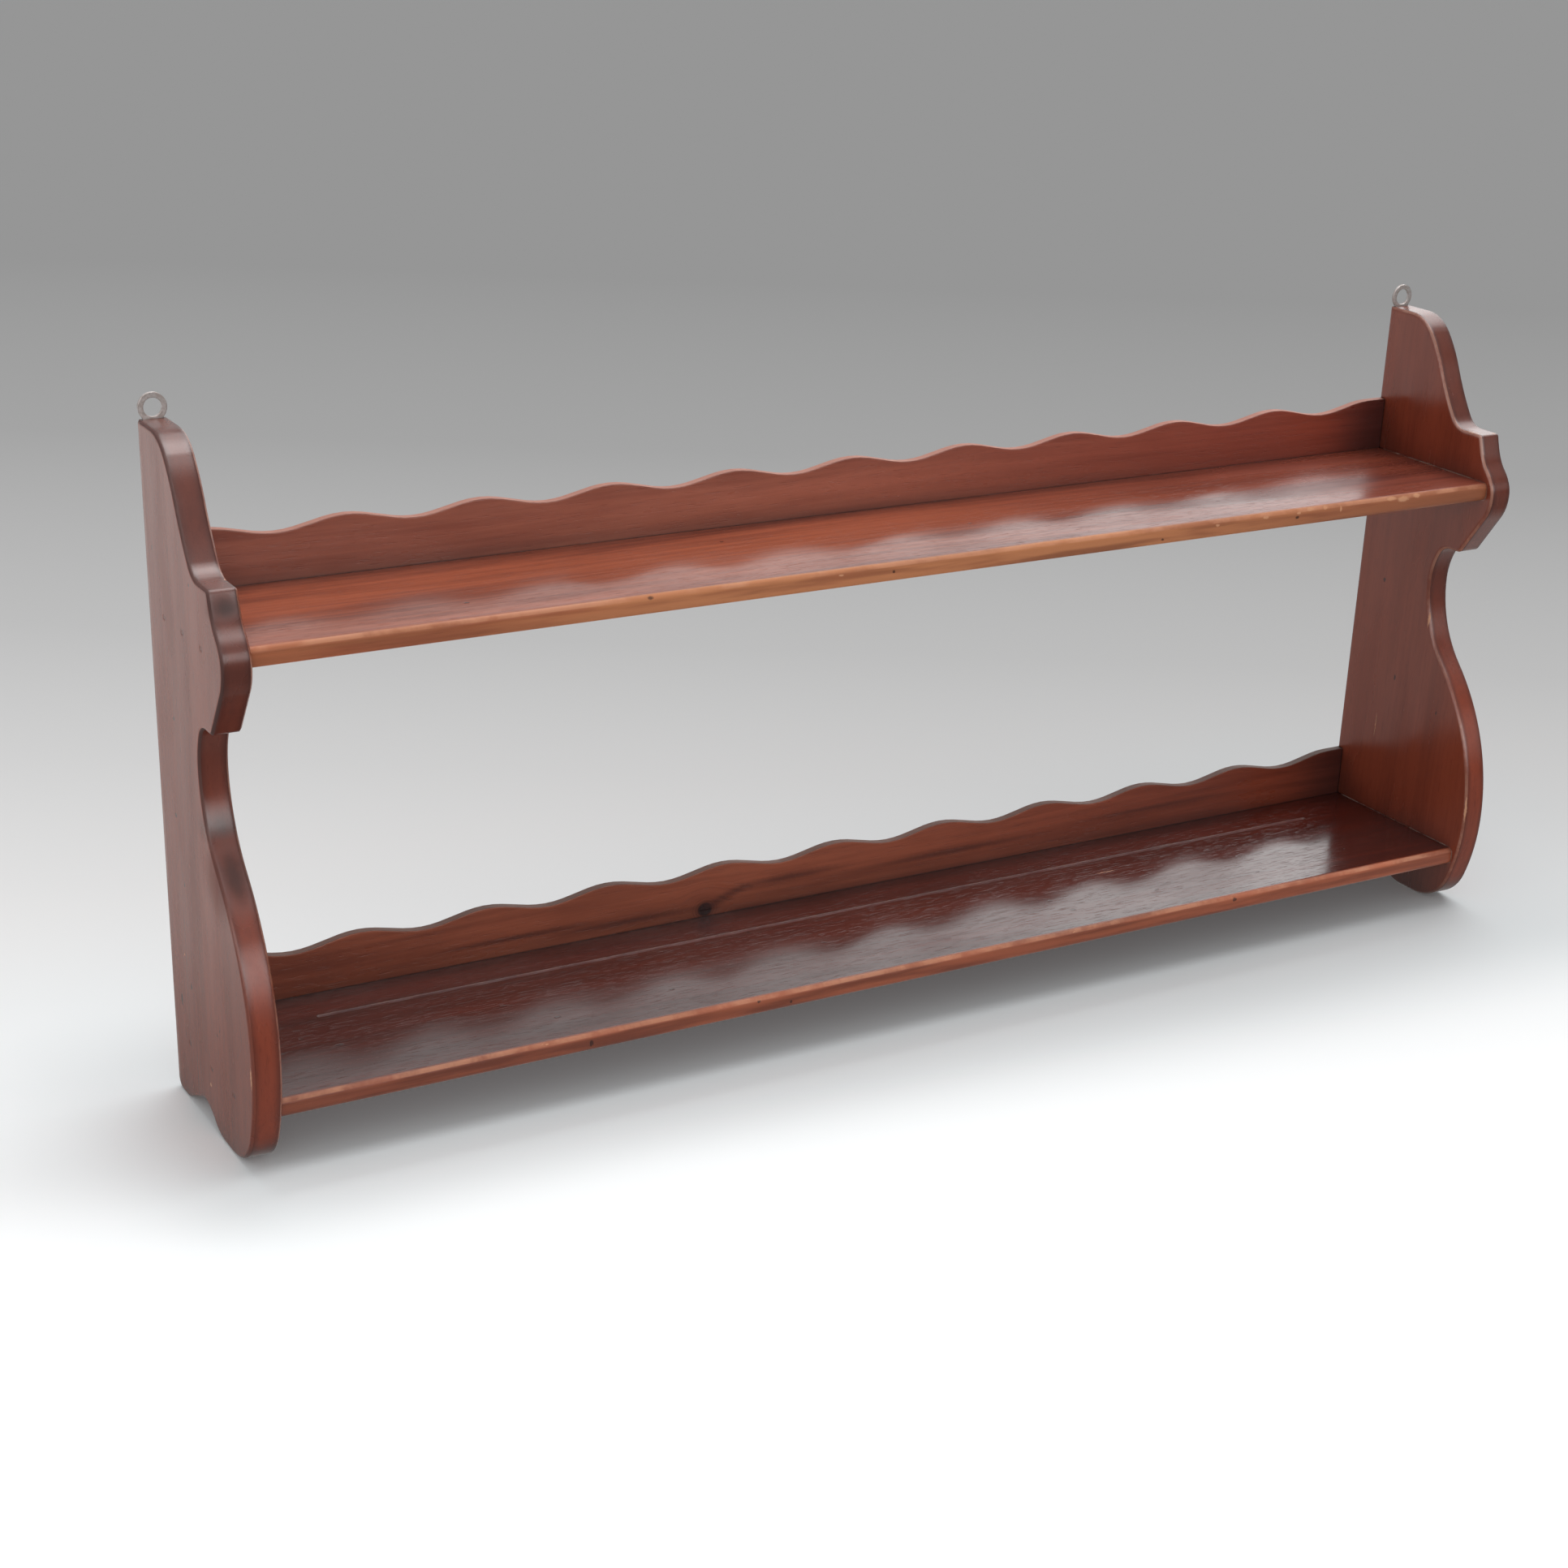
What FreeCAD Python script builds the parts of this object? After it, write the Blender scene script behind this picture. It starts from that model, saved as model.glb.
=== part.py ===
import FreeCAD, Part
import math
import os
from FreeCAD import Vector

# A hanging plate rack: two shaped end boards, two shelves housed into them, a scalloped
# gallery strip along the back of each shelf, and a brass hanging eye behind each end board.
# Millimetres, +Z up. +X runs along the shelves, +Y points at the wall.
# Depths are measured from the wall face forwards, heights from the surface it stands on.

# ---- overall ----
overall_length = 1000.0      # outside to outside of the end boards
board_thick = 19.0
lobe_depth = 151.0           # wall face to the front of the lower lobe, the deepest place

# ---- shelves ----
shelf_thick = 13.0
lower_shelf_height = 37.0    # underside of the lower shelf
clear_height = 274.0         # between the shelves, for a dinner plate on edge
lower_set_back = 8.0         # front of the lower lobe to the lower shelf's front edge
upper_set_back = 6.0         # front of the upper lobe to the upper shelf's front edge
shelf_nose = 4.0             # rounded front edges

# ---- front outline of an end board, top to bottom, each station from the one before ----
crown_depth = 24.0           # flat part of the top
shoulder_out = 39.0          # crown to the steepest place of the upper hollow
shoulder_drop = 35.0
ledge_root_out = 33.0        # shoulder to the inner end of the small level ledge
ledge_length = 17.0
brow_out = 12.0              # upper lobe: ledge to brow, brow to nose, nose to chin
brow_drop = 25.0
nose_out = 8.0
nose_drop = 18.0
chin_back = 5.0
chin_drop = 17.0
jaw_back = 21.0              # chin to the corner under the upper lobe
jaw_drop = 31.0
step_length = 11.0           # level underside of the upper lobe
waist_back = 16.0            # step to the narrowest place
waist_drop = 29.0

# ---- heights that the outline is hung from ----
top_over_ledge = 75.0        # ledge to the flat top
ledge_over_shelf = 33.0      # top of the upper shelf to the ledge
lobe_height = 76.0           # front of the lower lobe above the floor

# ---- foot of an end board, depths from the wall face ----
toe_front_depth = 106.0      # flat the rack stands on, at the front
toe_back_depth = 90.0
arch_depth = 52.0            # top of the cut-out between toe and heel
arch_rise = 14.0
heel_depth = 20.0            # flat the rack stands on, at the wall

# ---- slopes of the outline, in degrees from straight down, forwards being positive ----
shoulder_slope = 25.0
ledge_slope = 14.0
brow_slope = 45.0

# ---- how far a curve keeps its first direction, where its two arcs aren't alike ----
shoulder_lead = 19.0
cove_lead = 7.0
waist_lead = 36.0

# ---- roundings ----
ledge_corner = 2.5
jaw_corner = 6.0
arch_corner = 3.0
heel_corner = 8.0
board_arris = 1.5            # eased edges of the end boards

# ---- housings for shelves and galleries ----
housing_depth = 6.0          # how far shelves and galleries go into the end boards
housing_stop = 14.0          # shelf front to the front end of its housing
glue_line = 0.15             # room left at the blind ends of the housings

# ---- plate groove in the lower shelf ----
groove_from_wall = 41.0
groove_end_margin = 65.0     # end board to the groove's end
groove_radius = 1.6
groove_depth = 1.2

# ---- scalloped galleries ----
gallery_thick = 6.0
gallery_rise = 38.0          # shelf top to the crests
scallop_dip = 7.0            # crest to valley
scallop_count = 10
gallery_plain_end = 16.0     # end board to the first crest
scallop_fullness = 0.36      # share of a half wave over which crest and valley stay level

# ---- hanging eyes, let in flush behind the end boards ----
eye_outer_radius = 9.0
eye_hole_radius = 5.75
eye_rise = 7.0               # board top to the eye's centre
plate_thick = 1.6
plate_width = 13.0
plate_drop = 36.0            # board top to the lower end of the plate
plate_corner = 2.0
upper_screw_drop = 11.0
lower_screw_drop = 28.0
fit_clearance = 0.1          # round a let-in plate, and round nails, brads and screws

# ---- countersunk screws of the hanging eyes ----
screw_radius = 1.5
screw_head_radius = 3.0
screw_length = 16.0
slot_width = 0.8
slot_depth = 0.6

# ---- cut nails through the end boards into the shelf ends, punched in and stopped ----
nail_width = 3.0             # across the shelf, at the head
nail_thick = 2.0             # up and down
nail_tip_width = 1.4
nail_length = 38.0
punch_depth = 1.5            # head below the outer face, filled with stopping
first_nail_depth = 30.0      # wall face to the rearmost nail
nail_front_margin = 30.0     # shelf front to the foremost nail
nails_per_joint = 3

# ---- cut brads through the galleries into the shelves' back edges ----
brad_width = 2.2             # along the gallery, at the head
brad_thick = 1.4
brad_tip_width = 0.9
brad_length = 22.0
brad_count = 7
brad_end_margin = 50.0

# ---- worked out ----
wall_y = lobe_depth / 2
inner_x = overall_length / 2 - board_thick
shelf_end_x = inner_x + housing_depth - glue_line
groove_end_x = inner_x - groove_end_margin
wave_end_x = inner_x - gallery_plain_end
gallery_crest = shelf_thick + gallery_rise
upper_shelf_height = lower_shelf_height + shelf_thick + clear_height
ledge_height = upper_shelf_height + shelf_thick + ledge_over_shelf
board_height = ledge_height + top_over_ledge
eye_x = overall_length / 2 - board_thick / 2
eye_height = board_height + eye_rise

# ---- stations of the front outline (depth, height) ----
crown = (crown_depth, board_height)
shoulder = (crown[0] + shoulder_out, board_height - shoulder_drop)
ledge_root = (shoulder[0] + ledge_root_out, ledge_height)
ledge = (ledge_root[0] + ledge_length, ledge_height)
brow = (ledge[0] + brow_out, ledge[1] - brow_drop)
nose = (brow[0] + nose_out, brow[1] - nose_drop)
chin = (nose[0] - chin_back, nose[1] - chin_drop)
jaw = (chin[0] - jaw_back, chin[1] - jaw_drop)
step_root = (jaw[0] - step_length, jaw[1])
waist = (step_root[0] - waist_back, step_root[1] - waist_drop)
lobe = (lobe_depth, lobe_height)
toe_front = (toe_front_depth, 0.0)
toe_back = (toe_back_depth, 0.0)
arch = (arch_depth, arch_rise)
heel = (heel_depth, 0.0)

# ---- each shelf as (height of its underside, depth to its front edge) ----
shelf_levels = ((lower_shelf_height, lobe[0] - lower_set_back),
                (upper_shelf_height, nose[0] - upper_set_back))


def at(depth, height, x=0.0):
    """A point from its depth in front of the wall and its height."""
    return Vector(x, wall_y - depth, height)


def slope(degrees):
    """A unit direction in the depth and height plane, measured from straight down."""
    angle = math.radians(degrees)
    return (math.sin(angle), -math.cos(angle))


def dot(a, b):
    return a[0] * b[0] + a[1] * b[1]


def arc(start, direction, end):
    """The arc that leaves a station in a direction and reaches another station."""
    chord = (end[0] - start[0], end[1] - start[1])
    length = math.hypot(*chord)
    turn = math.atan2(direction[0] * chord[1] - direction[1] * chord[0], dot(direction, chord))
    sagitta = length / 2 * math.tan(turn / 2)
    middle = ((start[0] + end[0]) / 2 + sagitta * chord[1] / length,
              (start[1] + end[1]) / 2 - sagitta * chord[0] / length)
    return Part.Arc(at(*start), at(*middle), at(*end)).toShape()


def curve(start, start_way, end, end_way, lead=None):
    """Two tangent arcs between stations. With no lead given they share the turn evenly."""
    v = (end[0] - start[0], end[1] - start[1])
    along = dot(start_way, end_way)
    if lead is None:
        reach = dot(v, start_way) + dot(v, end_way)
        bend = 1 - along
        lead = dot(v, v) / (reach + math.sqrt(reach * reach + 2 * bend * dot(v, v)))
    tail = (dot(v, v) - 2 * lead * dot(v, start_way)) / (2 * (dot(v, end_way) + lead * (1 - along)))
    share = lead / (lead + tail)
    first = [start[i] + lead * start_way[i] for i in (0, 1)]
    second = [end[i] - tail * end_way[i] for i in (0, 1)]
    joint = tuple(first[i] + share * (second[i] - first[i]) for i in (0, 1))
    back_way = (-end_way[0], -end_way[1])
    return [arc(start, start_way, joint), arc(end, back_way, joint)]


def straight(start, end):
    return Part.makeLine(at(*start), at(*end))


def box(x0, x1, depth0, depth1, z0, z1):
    """A block between two x, two depths and two heights."""
    corner = Vector(min(x0, x1), wall_y - max(depth0, depth1), z0)
    return Part.makeBox(abs(x1 - x0), abs(depth1 - depth0), z1 - z0, corner)


def edges_through(solid, points):
    """The edges along X that pass through the given (depth, height) points."""
    found = []
    for edge in solid.Edges:
        ends = [vertex.Point for vertex in edge.Vertexes]
        along_x = len(ends) == 2 and (ends[0] - ends[1]).cross(Vector(1, 0, 0)).Length < 1e-6
        for depth, height in points:
            place = at(depth, height, ends[0].x)
            if along_x and (ends[0] - place).Length < 1e-4:
                found.append(edge)
    return found


def board_outline():
    """The closed outline of an end board in the depth and height plane."""
    forwards, backwards, down = (1.0, 0.0), (-1.0, 0.0), (0.0, -1.0)
    chin_way = slope(math.degrees(math.atan2(jaw[0] - chin[0], chin[1] - jaw[1])))
    edges = [straight((0.0, board_height), crown)]
    edges += curve(crown, forwards, shoulder, slope(shoulder_slope))
    edges += curve(shoulder, slope(shoulder_slope), ledge_root, forwards, shoulder_lead)
    edges += [straight(ledge_root, ledge)]
    edges += curve(ledge, slope(ledge_slope), brow, slope(brow_slope))
    edges += curve(brow, slope(brow_slope), nose, down)
    edges += curve(nose, down, chin, chin_way)
    edges += [straight(chin, jaw), straight(jaw, step_root)]
    edges += curve(step_root, backwards, waist, down, cove_lead)
    edges += curve(waist, down, lobe, down, waist_lead)
    edges += curve(lobe, down, toe_front, backwards)
    edges += [straight(toe_front, toe_back)]
    edges += curve(toe_back, backwards, arch, backwards)
    edges += [straight(arch, heel), straight(heel, (0.0, 0.0)),
              straight((0.0, 0.0), (0.0, board_height))]
    return Part.Wire(Part.__sortEdges__(edges))


def rounded_board(x0):
    """One end board from x0 to x0 + board_thick, its front edges eased, not yet housed."""
    board = Part.Face(board_outline()).extrude(Vector(board_thick, 0, 0))
    board.translate(Vector(x0, 0, 0))
    for radius, corner in ((ledge_corner, ledge), (jaw_corner, jaw), (arch_corner, arch),
                           (heel_corner, (0.0, 0.0))):
        board = board.makeFillet(radius, edges_through(board, [corner]))
    arrises = []
    for edge in board.Edges:
        box_of = edge.BoundBox
        on_face = box_of.XLength < 1e-6
        on_wall = abs(box_of.YMin - wall_y) < 1e-6
        if on_face and not on_wall:
            arrises.append(edge)
    return board.makeChamfer(board_arris, arrises)


def joint_nails(level, shelf_depth):
    """The nails of one shelf as (side, depth, height), side -1 at the left and +1 at the right."""
    last = shelf_depth - nail_front_margin
    step = (last - first_nail_depth) / (nails_per_joint - 1)
    return [(side, first_nail_depth + step * i, level + shelf_thick / 2)
            for side in (-1, 1)
            for i in range(nails_per_joint)]


def nail_places():
    return [place for shelf_level in shelf_levels for place in joint_nails(*shelf_level)]


def cut_nail(head, inwards, sizes, clearance):
    """A flat nail tapering in width only. With a clearance it is the hole that it fills."""
    width, tip_width, thick, length = sizes
    across = inwards.cross(Vector(0, 0, 1))
    tip = head + inwards * (length + clearance)
    half_head = across * (width / 2 + clearance)
    half_tip = across * (tip_width / 2 + clearance)
    corners = [head - half_head, head + half_head, tip + half_tip, tip - half_tip]
    side = Part.Face(Part.makePolygon(corners + corners[:1]))
    side.translate(Vector(0, 0, -thick / 2 - clearance))
    return side.extrude(Vector(0, 0, thick + 2 * clearance))


def nail(side, depth, height, clearance=0.0):
    """A nail along X, its head under the stopping."""
    head = at(depth, height, side * (overall_length / 2 - punch_depth))
    sizes = (nail_width, nail_tip_width, nail_thick, nail_length)
    return cut_nail(head, Vector(-side, 0, 0), sizes, clearance)


def stopping(side, depth, height, clearance=0.0):
    """The plug of filler over a punched nail head, flush with the board's outer face."""
    outer_x = side * overall_length / 2
    half_width = nail_width / 2 + clearance
    half_thick = nail_thick / 2 + clearance
    return box(outer_x, outer_x - side * punch_depth, depth - half_width, depth + half_width,
               height - half_thick, height + half_thick)


def screw_places():
    """Every eye screw as (side, height)."""
    return [(side, board_height - drop)
            for side in (-1, 1)
            for drop in (upper_screw_drop, lower_screw_drop)]


def screw_body(side, height, clearance=0.0):
    """A countersunk screw without its slot, driven forwards from the wall face."""
    place = at(0.0, height, side * eye_x)
    forwards = Vector(0, -1, 0)
    head_length = screw_head_radius - screw_radius
    head = Part.makeCone(screw_head_radius + clearance, screw_radius + clearance, head_length,
                         place, forwards)
    shank = Part.makeCylinder(screw_radius + clearance, screw_length + clearance, place, forwards)
    return head.fuse(shank).removeSplitter()


def slotted_screw(side, height):
    slot = box(side * eye_x - screw_head_radius, side * eye_x + screw_head_radius, 0.0, slot_depth,
               height - slot_width / 2, height + slot_width / 2)
    return screw_body(side, height).cut(slot)


def gallery_brads(level):
    """The brads of one gallery as (x, height)."""
    span = 2 * (inner_x - brad_end_margin)
    return [(-span / 2 + span * i / (brad_count - 1), level + shelf_thick / 2)
            for i in range(brad_count)]


def brad(x, height, clearance=0.0):
    """A brad driven forwards through a gallery into its shelf, flush at the back."""
    sizes = (brad_width, brad_tip_width, brad_thick, brad_length)
    return cut_nail(at(0.0, height, x), Vector(0, -1, 0), sizes, clearance)


def plate_blank(side, clearance=0.0):
    """A hanging eye's plate with no holes: a round eye on a tongue down the board's back."""
    x = side * eye_x
    half = plate_width / 2 + clearance
    disc = Part.makeCylinder(eye_outer_radius + clearance, plate_thick,
                             at(0.0, eye_height, x), Vector(0, -1, 0))
    tongue = box(x - half, x + half, 0.0, plate_thick,
                 board_height - plate_drop - clearance, eye_height)
    lower_corners = [edge for edge in tongue.Edges
                     if abs(edge.BoundBox.ZMax - tongue.BoundBox.ZMin) < 1e-6
                     and edge.BoundBox.YLength > plate_thick / 2]
    return disc.fuse(tongue.makeFillet(plate_corner, lower_corners)).removeSplitter()


def hanging_eye(side):
    """A flat brass eye, its ring standing up above the end board."""
    eye = plate_blank(side)
    hole = Part.makeCylinder(eye_hole_radius, plate_thick,
                             at(0.0, eye_height, side * eye_x), Vector(0, -1, 0))
    eye = eye.cut(hole)
    for screw_side, height in screw_places():
        if screw_side == side:
            eye = eye.cut(screw_body(side, height, fit_clearance))
    return eye


def end_board(side):
    """An end board with housings for both shelves and galleries, and its eye let in."""
    x0 = inner_x if side > 0 else -overall_length / 2
    board = rounded_board(x0)
    bottom_x = side * (inner_x + housing_depth)
    cuts = [plate_blank(side, fit_clearance)]
    for level, shelf_depth in shelf_levels:
        cuts.append(box(side * inner_x, bottom_x, gallery_thick, shelf_depth - housing_stop,
                        level, level + shelf_thick))
        cuts.append(box(side * inner_x, bottom_x, 0.0, gallery_thick,
                        level, level + gallery_crest))
    for nail_side, depth, height in nail_places():
        if nail_side == side:
            cuts.append(nail(side, depth, height, fit_clearance))
            cuts.append(stopping(side, depth, height, fit_clearance))
    for screw_side, height in screw_places():
        if screw_side == side:
            cuts.append(screw_body(side, height, fit_clearance))
    for cut in cuts:
        board = board.cut(cut)
    return board


def shelf(level, shelf_depth):
    """A shelf with a rounded front, narrowed at both ends to its stopped housings."""
    plank = box(-inner_x, inner_x, gallery_thick, shelf_depth, level, level + shelf_thick)
    front = [(shelf_depth, level), (shelf_depth, level + shelf_thick)]
    plank = plank.makeFillet(shelf_nose, edges_through(plank, front))
    tongue = box(-shelf_end_x, shelf_end_x, gallery_thick, shelf_depth - housing_stop - glue_line,
                 level, level + shelf_thick)
    plank = plank.fuse(tongue).removeSplitter()
    for side, depth, height in joint_nails(level, shelf_depth):
        plank = plank.cut(nail(side, depth, height, fit_clearance))
    for x, height in gallery_brads(level):
        plank = plank.cut(brad(x, height, fit_clearance))
    return plank


def plate_groove(level):
    """The stopped round-bottomed groove that plates stand in."""
    height = level + shelf_thick - groove_depth + groove_radius
    start = at(groove_from_wall, height, -groove_end_x)
    bar = Part.makeCylinder(groove_radius, 2 * groove_end_x, start, Vector(1, 0, 0))
    ends = [Part.makeSphere(groove_radius, at(groove_from_wall, height, side * groove_end_x))
            for side in (-1, 1)]
    return bar.fuse(ends).removeSplitter()


def scallops(crest):
    """The wavy top edge of a gallery from left to right, crest to valley to crest."""
    half = wave_end_x / scallop_count
    lead = scallop_fullness * half
    edges = []
    for i in range(2 * scallop_count):
        x = (i - scallop_count) * half
        falling = i % 2 == 0
        z0 = crest if falling else crest - scallop_dip
        z1 = crest - scallop_dip if falling else crest
        wave = Part.BezierCurve()
        wave.setPoles([at(0.0, z0, x), at(0.0, z0, x + lead),
                       at(0.0, z1, x + half - lead), at(0.0, z1, x + half)])
        edges.append(wave.toShape())
    return edges


def gallery(level):
    """A thin strip behind a shelf, from the shelf's underside up to its scalloped top."""
    crest = level + gallery_crest
    path = [(wave_end_x, crest), (shelf_end_x, crest), (shelf_end_x, level),
            (-shelf_end_x, level), (-shelf_end_x, crest), (-wave_end_x, crest)]
    corners = [at(0.0, z, x) for x, z in path]
    lines = [Part.makeLine(p, q) for p, q in zip(corners, corners[1:])]
    outline = Part.Wire(Part.__sortEdges__(scallops(crest) + lines))
    strip = Part.Face(outline).extrude(Vector(0, -gallery_thick, 0))
    for x, height in gallery_brads(level):
        strip = strip.cut(brad(x, height, fit_clearance))
    return strip


def save(name, pieces):
    shape = pieces[0] if len(pieces) == 1 else Part.makeCompound(pieces)
    shape.exportStep("parts/" + name + ".step")


os.makedirs("parts", exist_ok=True)
save("left_end_board", [end_board(-1)])
save("right_end_board", [end_board(1)])
save("lower_shelf", [shelf(*shelf_levels[0]).cut(plate_groove(lower_shelf_height))])
save("upper_shelf", [shelf(*shelf_levels[1])])
save("lower_gallery", [gallery(lower_shelf_height)])
save("upper_gallery", [gallery(upper_shelf_height)])
save("left_hanging_eye", [hanging_eye(-1)])
save("right_hanging_eye", [hanging_eye(1)])
save("hanging_eye_screws", [slotted_screw(*place) for place in screw_places()])
save("shelf_end_nails", [nail(*place) for place in nail_places()])
save("nail_hole_stopping", [stopping(*place) for place in nail_places()])
save("gallery_brads", [brad(*place) for level, shelf_depth in shelf_levels
                       for place in gallery_brads(level)])
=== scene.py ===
import math

import bpy
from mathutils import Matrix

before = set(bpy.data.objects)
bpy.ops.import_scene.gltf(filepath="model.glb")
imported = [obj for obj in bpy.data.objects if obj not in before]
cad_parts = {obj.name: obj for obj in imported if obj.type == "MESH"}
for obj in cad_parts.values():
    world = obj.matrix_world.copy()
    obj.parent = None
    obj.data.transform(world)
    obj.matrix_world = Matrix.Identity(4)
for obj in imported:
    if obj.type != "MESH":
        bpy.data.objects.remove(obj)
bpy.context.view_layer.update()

# A hanging plate rack of varnished red-brown wood. Metres, +Z up, +X along the shelves and +Y at
# the wall. The solids have every form, and this script gives them their finishes, their marks and
# some painted shade and highlights.


def colour(red, green, blue):
    """A colour written as 0 to 255 on a screen, as the linear values that a shader takes."""
    def linear(v):
        v = v / 255
        return v / 12.92 if v <= 0.04045 else ((v + 0.055) / 1.055) ** 2.4
    return (linear(red), linear(green), linear(blue), 1.0)


def tint(red, green, blue):
    """Three shares that multiply a colour."""
    return (red, green, blue, 1.0)


# Each span below is (from, to), or (from, to, level at the first, level at the second).

# ---- camera ----
CAMERA_PLACE = (-0.9806, -1.5117, 0.8356)
CAMERA_TURN = (66.254, -1.833, -29.881)      # degrees about X, Y, Z
CAMERA_LENS = 62.74                          # mm
CAMERA_SENSOR = 36.0
CAMERA_SHIFT_UP = 0.0925

# ---- lamps: level, degrees across, and degrees turned about X, Y, Z ----
WORLD_LEVEL = 0.30
KEY_LIGHT = (1.65, 54.0, (-9.0, 19.0, 0.0))      # large and soft, high on the right and behind
FILL_LIGHT = (0.62, 95.0, (40.0, -22.0, 0.0))    # weaker, in front on the left

# ---- the room that the varnish mirrors, by the direction looked in ----
BEHIND = (-0.05, 0.45)                       # Y: from the room in front to the room behind
BEHIND_RIGHT = (0.22, 0.66)                  # X: where the room behind grows brighter
BEHIND_LEFT_LEVEL = 0.7
BEHIND_RIGHT_LEVEL = 1.75                    # added at the right
BEHIND_RISE = (0.05, 0.40, 0.45, 1.22)       # Z
FRONT_RISE = (0.44, 0.60, 0.08, 0.55)        # Z
OVERHEAD = (0.70, 0.95, 0.0, 5.0)            # Z: a bright lamp overhead
WINDOW_SILL = (0.04, 0.24)                   # Z: a low window in front
WINDOW_HEAD = (0.54, 0.38)                   # Z
WINDOW_SIDE = (0.75, 0.35, 0.4, 4.2)         # X: dim at the right, bright from there to the left

# ---- floor ----
FLOOR_SIZE = 40.0
FLOOR_PAINT = tint(0.96, 0.96, 0.96)
FLOOR_PAINT_NEAR = tint(0.92, 0.965, 0.98)   # cooler by the rack
FLOOR_PAINT_REACH = (0.0, 0.35)              # from the rack's outline
FLOOR_WAY = (0.5104, 0.8600)                 # direction in which the floor turns from white to grey
FLOOR_GREYS = ((1.442, 255), (1.526, 253), (1.713, 241), (1.94, 225),
               (2.223, 208), (2.587, 189), (3.38, 163), (4.53, 149))   # along it, from the camera
FLOOR_FADE = (2.6, 7.0)                      # from the rack's middle, to an even grey
FAR_GREY = colour(149, 149, 149)
GLOW = (0.01, 0.16, 0.07, 0.12)              # seen by the camera only, by distance from the rack
GLOW_IN_FRONT = (0.0, -0.15, 0.0, 0.17)      # added, by distance in front of a slanted line
GLOW_IN_FRONT_REACH = (0.01, 0.10)
GLOW_LINE_SLANT = 0.12
MIRRORED_NEAR = (0.0, 0.30, 0.36, 0.68)      # the floor in the varnish, dim under the rack
MIRRORED_FAR = (0.3, 1.5, 0.0, 0.26)
MIRRORED_IN_FRONT = (-0.35, -0.05, 0.35, 1.0)
MIRRORED_COLOUR = (1.0, 0.985, 0.97, 1.0)

# ---- the rack, as the solids have it ----
HALF_LENGTH = 0.5
BOARD_INNER = 0.481
BOARD_CENTRE = 0.4905
WALL = 0.0755
UPPER_FRONT = -0.0515
LOWER_FRONT = -0.0675
GROOVE_MIDDLE = 0.0345
GROOVE_END = 0.416

# ---- where on the rack the looks change ----
RIGHT_END_SHADE_PART = (-0.15, 0.40)              # X
RIGHT_CORNER_SHADE_PART = (0.405, 0.475)            # X
DULL_END_PART = (0.26, 0.36)                 # X
FRONT_LEFT_PART = (-0.46, -0.15)             # X, on a pale front edge
FRONT_RIGHT_PART = (0.15, 0.46)              # X
SIDE_SHADE_RISE = (0.13, 0.30)                # Z
ARRIS_DARK_RISE = (0.13, 0.25, 0.2, 0.8)     # Z
SHADE_PATCHES_DULL_HIGH = (0.24, 0.32, 0.0, 0.35)  # Z
SHADE_PATCHES_DULL_LOW = (0.215, 0.195, 0.0, 0.55)  # Z
SEAM_POLISH_PART = (-0.3, 0.48, 0.2, 0.6)    # X
BEFORE_GALLERY = (0.066, 0.060)              # Y
KNOT_CENTRE = (-0.109, 0.0695, 0.0555)       # in the lower gallery
KNOT_OVAL = (0.8, 1.0, 0.9)
KNOT_RING_TURN = 3400.0                      # radians of ring for each metre from its centre

# ---- what lies on the varnish or shows through it, and painted shade and highlights ----
BARE_WOOD = colour(200, 150, 126)
CHIPPED_WOOD = colour(214, 158, 122)
RUBBED_FRONT = colour(218, 156, 122)
BACK_EDGE_HIGHLIGHT = colour(206, 178, 168)
DENT_DIRT = colour(40, 20, 18)
ARRIS_DARK = colour(40, 18, 16)
PAINTED_HOLLOW_SHADE = colour(46, 20, 17)
RIM_SHADE = colour(58, 28, 24)
SHADE_PATCH_COLOUR = colour(38, 20, 17)
SEAM_DIRT = colour(34, 16, 14)
SEAM_POLISH = colour(186, 172, 160)
STREAK_STAIN = colour(74, 34, 28)
KNOT_RING = colour(84, 40, 30)
KNOT_CORE = colour(38, 18, 18)
METAL_CORNER_DARK = colour(60, 52, 44)

SEAM_WIDTH = 0.0018
HOLLOW_REACH = 0.045                         # how far from a corner the painted shade reaches
METAL_EDGE = 0.0006                          # radius that small metal edges look rounded by
BEVEL_SAMPLES = 6
CORNER_SAMPLES = 8
GRAIN_STEP = 0.00005                         # metres of bump for one unit of height

ALONG_X = (0.0, 0.0, 0.0)
ALONG_Z = (0.0, math.radians(90), 0.0)


# ---------------------------------------------------------------- nodes

def new_node(tree, kind, inputs=None, **settings):
    """Adds a shader node, sets its properties, and sets or links its inputs."""
    node = tree.nodes.new(kind)
    for key, value in settings.items():
        setattr(node, key, value)
    for key, value in (inputs or {}).items():
        socket = node.inputs[key]
        if isinstance(value, bpy.types.NodeSocket):
            tree.links.new(value, socket)
        else:
            socket.default_value = value
    return node


def maths(tree, operation, *values):
    return new_node(tree, "ShaderNodeMath", dict(enumerate(values)), operation=operation).outputs[0]


def times(tree, first, *others):
    """The product of two or more masks or values."""
    for other in others:
        first = maths(tree, "MULTIPLY", first, other)
    return first


def vectors(tree, operation, *values, output=0):
    node = new_node(tree, "ShaderNodeVectorMath", dict(enumerate(values)), operation=operation)
    return node.outputs[output]


def length(tree, vector):
    return vectors(tree, "LENGTH", vector, output="Value")


def parts_of(tree, vector):
    """A vector's X, Y and Z."""
    return new_node(tree, "ShaderNodeSeparateXYZ", {0: vector}).outputs


def mix_colours(tree, share, first, second, blend="MIX"):
    node = new_node(tree, "ShaderNodeMix", {0: share, 6: first, 7: second}, data_type="RGBA",
                    blend_type=blend)
    return node.outputs[2]


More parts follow.
